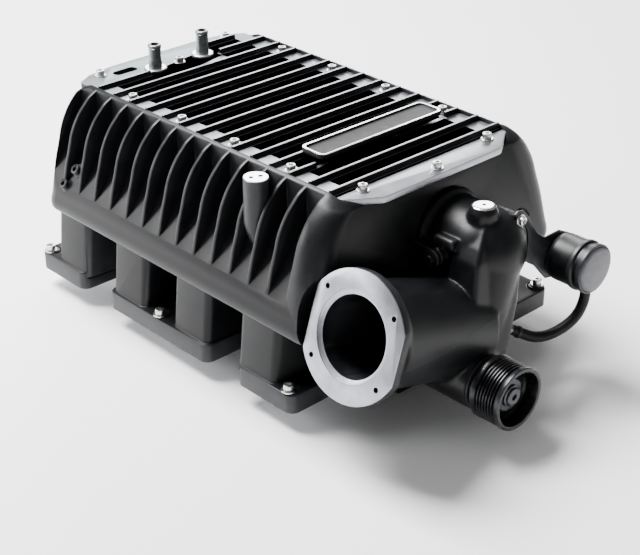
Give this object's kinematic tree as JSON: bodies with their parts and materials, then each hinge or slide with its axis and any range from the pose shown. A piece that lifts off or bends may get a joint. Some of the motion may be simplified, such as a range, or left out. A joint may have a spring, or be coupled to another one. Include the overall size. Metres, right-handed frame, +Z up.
{
  "type": "supercharger",
  "caption": "Twin-rotor supercharger with a ribbed intercooled plenum, runners to two cylinder banks, side inlet tube, belt pulley, bypass elbow and vacuum actuator.",
  "frame": {"origin": "middle of the rotor case's flat belly, midway between the two banks and the cylinders' middle along the engine", "axes": "+X towards the bank that faces the vacuum actuator, -Y towards the pulley and the inlet tube, +Z up through the lid"},
  "size_m": [0.3744, 0.6025, 0.2713],
  "materials": {
    "casting_black": "satin black powder coat over cast aluminium",
    "casting_satin": "satin, as cast and tumbled",
    "machined_badge": "bright machined rim",
    "core_alloy": "brazed",
    "rotor_alloy": "coated, matt",
    "bolt_zinc": "bright zinc",
    "steel_turned": "turned",
    "steel_black": "satin black",
    "cap_satin": "satin grey",
    "brass": "machined",
    "pulley_black": "black anodised",
    "rubber_black": "moulded"
  },
  "bodies": {
    "housing": {"actuator_bracket": "steel_black", "actuator_can": "steel_black", "actuator_cap": "cap_satin", "badge_plate": "machined_badge", "bypass_housing": "casting_black", "coolant_fitting_left": "steel_turned", "coolant_fitting_right": "steel_turned", "flange_bolt_left_front": "bolt_zinc", "flange_bolt_left_middle": "bolt_zinc", "flange_bolt_left_rear": "bolt_zinc", "flange_bolt_right_front": "bolt_zinc", "flange_bolt_right_middle": "bolt_zinc", "flange_bolt_right_rear": "bolt_zinc", "front_bearing_drive": "steel_turned", "front_bearing_driven": "steel_turned", "front_bearing_plate": "casting_satin", "gear_cover": "casting_black", "inlet_housing": "casting_black", "intercooler_core": "core_alloy", "lid_bolt_01": "bolt_zinc", "lid_bolt_02": "bolt_zinc", "lid_bolt_03": "bolt_zinc", "lid_bolt_04": "bolt_zinc", "lid_bolt_05": "bolt_zinc", "lid_bolt_06": "bolt_zinc", "lid_bolt_07": "bolt_zinc", "lid_bolt_08": "bolt_zinc", "lid_bolt_09": "bolt_zinc", "lid_bolt_10": "bolt_zinc", "lid_bolt_11": "bolt_zinc", "lid_bolt_12": "bolt_zinc", "lid_bolt_13": "bolt_zinc", "lid_bolt_14": "bolt_zinc", "lid_seal": "rubber_black", "manifold_housing": "casting_black", "plenum_lid": "casting_satin", "rear_bearing_drive": "steel_turned", "rear_bearing_driven": "steel_turned", "rotor_case": "casting_black", "runner_left_front": "casting_black", "runner_left_middle": "casting_black", "runner_left_rear": "casting_black", "runner_right_front": "casting_black", "runner_right_middle": "casting_black", "runner_right_rear": "casting_black", "snout_bearing": "steel_turned", "snout_nose": "casting_black", "vacuum_hose": "rubber_black"},
    "drive_train": {"drive_pulley": "pulley_black", "pulley_bolt": "steel_turned", "drive_shaft": "steel_turned", "drive_rotor": "rotor_alloy", "drive_gear": "steel_turned"},
    "driven_train": {"driven_rotor": "rotor_alloy", "driven_gear": "steel_turned"},
    "bypass_valve": {"bypass_shaft": "steel_turned", "bypass_plate": "brass", "bypass_stop_lever": "steel_black", "bypass_lever": "steel_black"},
    "actuator_piston": {"actuator_rod": "steel_turned"}
  },
  "joints": [
    {"name": "drive_spin", "type": "hinge", "parent": "housing", "child": "drive_train", "pos_m": [-0.038, 0, 0.058], "axis": [0, 1, 0], "continuous": true},
    {"name": "driven_spin", "type": "hinge", "parent": "housing", "child": "driven_train", "pos_m": [0.038, 0, 0.058], "axis": [0, 1, 0], "continuous": true},
    {"name": "bypass_turn", "type": "hinge", "parent": "housing", "child": "bypass_valve", "pos_m": [0.014, -0.268, 0.167], "axis": [-1, 0, 0], "range_deg": [0, 75]},
    {"name": "actuator_slide", "type": "slide", "parent": "housing", "child": "actuator_piston", "axis": [0, -1, 0], "range_m": [0, 0.0262]}
  ],
  "couplings": [
    {"joint": "driven_spin", "follows": "drive_spin", "ratio": -1},
    {"joint": "actuator_slide", "follows": "bypass_turn", "m_per_rad": 0.02}
  ]
}
